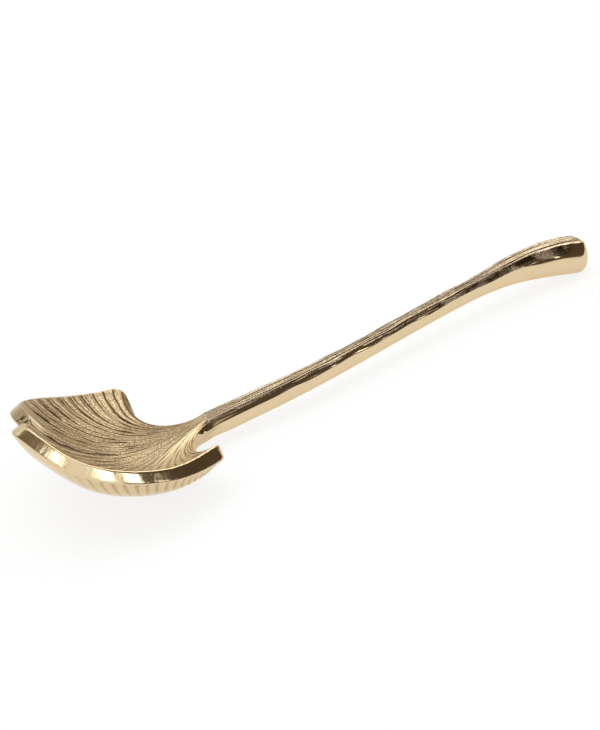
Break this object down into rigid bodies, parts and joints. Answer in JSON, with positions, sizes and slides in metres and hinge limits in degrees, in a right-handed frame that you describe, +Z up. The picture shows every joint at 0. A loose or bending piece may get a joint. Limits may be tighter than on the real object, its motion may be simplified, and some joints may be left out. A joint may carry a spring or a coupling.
{
  "type": "spoon",
  "caption": "Cast brass spoon with a ribbed two-lobed leaf as its bowl and a twig as its handle, which flares into a knob.",
  "frame": {"origin": "middle of the overall box in plan, on the table that the spoon lies on", "axes": "+X towards the knob along the handle, +Z up, +Y towards the far wing of the leaf"},
  "size_m": [0.139, 0.0476, 0.0245],
  "materials": {
    "brass": "polished, darker and cast-textured in the bowl"
  },
  "bodies": {
    "root": {"spoon": "brass"}
  },
  "joints": []
}
